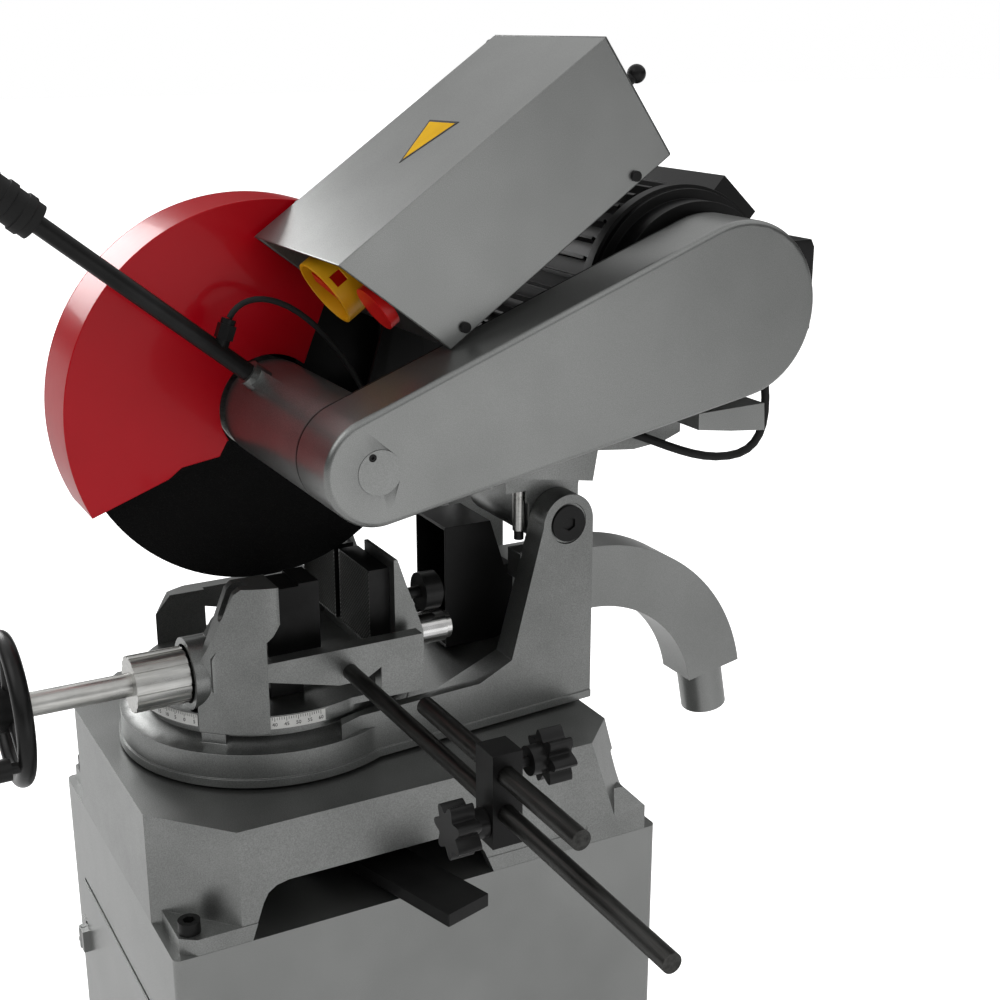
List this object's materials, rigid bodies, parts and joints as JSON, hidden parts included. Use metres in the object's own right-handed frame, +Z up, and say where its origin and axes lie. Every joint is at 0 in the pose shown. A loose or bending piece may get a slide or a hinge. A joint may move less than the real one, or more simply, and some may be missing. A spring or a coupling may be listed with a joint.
{
  "type": "abrasive chop saw",
  "caption": "Belt-driven abrasive cut-off saw with tilting head, swivelling turntable, bar vice, length stop, spark duct and sheet-steel cabinet stand.",
  "frame": {"origin": "on the floor under the turntable's swivel axis", "axes": "+Z up, +Y from the operator towards the motor, +X to the operator's right"},
  "size_m": [0.839, 0.888, 1.4298],
  "materials": {
    "grey_paint": "satin",
    "grey_cast": "satin",
    "bed_cast": "satin",
    "scale_plate": "satin",
    "dark_steel": "satin",
    "black_steel": "satin",
    "black_paint": "satin",
    "bright_steel": "satin",
    "chrome": "polished",
    "cast_iron": "matte",
    "abrasive": "matte",
    "rubber": "matte",
    "black_plastic": "satin",
    "yellow_plastic": "gloss",
    "red_plastic": "gloss",
    "green_plastic": "gloss",
    "red_paint": "gloss"
  },
  "bodies": {
    "base": {"cabinet": "grey_paint", "base_casting": "grey_cast", "base_bolts": "dark_steel", "swivel_post": "dark_steel", "bed_casting": "bed_cast", "angle_scale": "scale_plate", "stop_rod": "dark_steel"},
    "door": {"cabinet_door": "grey_paint"},
    "latch": {"door_latch": "black_plastic"},
    "lock": {"lock_lever": "black_steel"},
    "front_jaw_slide": {"front_jaw": "black_steel", "front_jaw_plate": "black_steel"},
    "vice_spindle": {"vice_screw": "bright_steel", "handwheel": "black_plastic"},
    "rear_jaw_slide": {"rear_jaw": "bed_cast", "rear_jaw_plates": "black_steel", "rear_guide_bar": "chrome"},
    "rear_lock": {"rear_lock_knob": "black_plastic"},
    "length_stop": {"stop_block": "black_steel"},
    "length_pin": {"stop_pin": "dark_steel"},
    "rear_star": {"stop_knob_rear": "black_plastic"},
    "front_star": {"stop_knob_front": "black_plastic"},
    "turntable": {"turntable_bracket": "grey_cast", "pivot_pin": "dark_steel", "spark_chute": "black_paint", "rear_duct": "grey_paint", "return_spring": "dark_steel"},
    "spindle": {"spindle_shaft": "bright_steel", "spindle_pulley": "cast_iron", "disc_flanges": "bright_steel", "disc_nut": "dark_steel", "abrasive_disc": "abrasive"},
    "rotor": {"motor_rotor": "bright_steel", "motor_pulley": "cast_iron"},
    "isolator": {"isolator_knob": "red_plastic"},
    "stop_switch": {"stop_button": "red_plastic"},
    "trigger": {"trigger_button": "green_plastic"},
    "head": {"arm_casting": "grey_cast", "spindle_bearings": "chrome", "belt_cover": "grey_paint", "cover_backplate": "black_paint", "cover_cap": "bright_steel", "drive_belts": "rubber", "motor_stator": "black_paint", "motor_shield": "black_paint", "motor_fan_cover": "black_paint", "motor_terminal_box": "black_plastic", "motor_plate": "grey_paint", "disc_guard": "red_paint", "guard_cover": "red_paint", "spark_hood": "black_paint", "switch_box": "grey_paint", "box_lid": "grey_paint", "box_screws": "dark_steel", "isolator_ring": "yellow_plastic", "lever_bar": "black_steel", "lever_grip": "rubber", "handle_cable": "rubber", "motor_cable": "rubber", "stop_bolt": "bright_steel"}
  },
  "joints": [
    {"name": "table_swivel", "type": "hinge", "parent": "base", "child": "turntable", "pos_m": [0, 0, 0.79], "axis": [0, 0, 1], "range_deg": [-45, 0]},
    {"name": "head_tilt", "type": "hinge", "parent": "turntable", "child": "head", "pos_m": [0, 0.284, 0.967], "axis": [1, 0, 0], "range_deg": [-15, 17.5]},
    {"name": "spindle_spin", "type": "hinge", "parent": "head", "child": "spindle", "pos_m": [0, 0.007, 1.102], "axis": [1, 0, 0], "continuous": true},
    {"name": "rotor_spin", "type": "hinge", "parent": "head", "child": "rotor", "pos_m": [0, 0.357, 1.2], "axis": [1, 0, 0], "continuous": true},
    {"name": "front_jaw_travel", "type": "slide", "parent": "base", "child": "front_jaw_slide", "axis": [0, -1, 0], "range_m": [-0.048, 0.01]},
    {"name": "vice_screw_turn", "type": "hinge", "parent": "front_jaw_slide", "child": "vice_spindle", "pos_m": [0.062, -0.1, 0.868], "axis": [0, 1, 0], "range_deg": [-725, 3460]},
    {"name": "rear_jaw_travel", "type": "slide", "parent": "base", "child": "rear_jaw_slide", "axis": [0, 1, 0], "range_m": [0, 0.035]},
    {"name": "rear_lock_turn", "type": "hinge", "parent": "rear_jaw_slide", "child": "rear_lock", "pos_m": [0.078, 0.13, 0.912], "axis": [0, 1, 0], "range_deg": [0, 180]},
    {"name": "stop_block_travel", "type": "slide", "parent": "base", "child": "length_stop", "axis": [1, 0, 0], "range_m": [-0.07, 0.2]},
    {"name": "stop_pin_travel", "type": "slide", "parent": "length_stop", "child": "length_pin", "axis": [1, 0, 0], "range_m": [-0.07, 0.07]},
    {"name": "rear_star_turn", "type": "hinge", "parent": "length_stop", "child": "rear_star", "pos_m": [0.407, 0.08, 0.8935], "axis": [0, 1, 0], "range_deg": [0, 180]},
    {"name": "front_star_turn", "type": "hinge", "parent": "length_stop", "child": "front_star", "pos_m": [0.407, 0, 0.8505], "axis": [0, 1, 0], "range_deg": [0, 180]},
    {"name": "lock_lever_turn", "type": "hinge", "parent": "base", "child": "lock", "pos_m": [0, 0, 0.68], "axis": [0, 0, 1], "range_deg": [-14, 9]},
    {"name": "door_swing", "type": "hinge", "parent": "base", "child": "door", "pos_m": [-0.153, -0.169, 0.34], "axis": [0, 0, 1], "range_deg": [-110, 0]},
    {"name": "latch_turn", "type": "hinge", "parent": "door", "child": "latch", "pos_m": [0.125, -0.168, 0.34], "axis": [0, 1, 0], "range_deg": [0, 90]},
    {"name": "isolator_turn", "type": "hinge", "parent": "head", "child": "isolator", "pos_m": [0.139, 0.05167, 1.24332], "axis": [0, -0.8192, -0.5736], "range_deg": [0, 90]},
    {"name": "stop_button_press", "type": "slide", "parent": "head", "child": "stop_switch", "axis": [0, 0.8192, 0.5736], "range_m": [0, 0.004]},
    {"name": "trigger_press", "type": "slide", "parent": "head", "child": "trigger", "axis": [0, 0.7727, -0.6347], "range_m": [0, 0.004]}
  ],
  "couplings": [
    {"joint": "spindle_spin", "follows": "rotor_spin", "ratio": 2},
    {"joint": "vice_screw_turn", "follows": "front_jaw_travel", "rad_per_m": -1256.6}
  ]
}
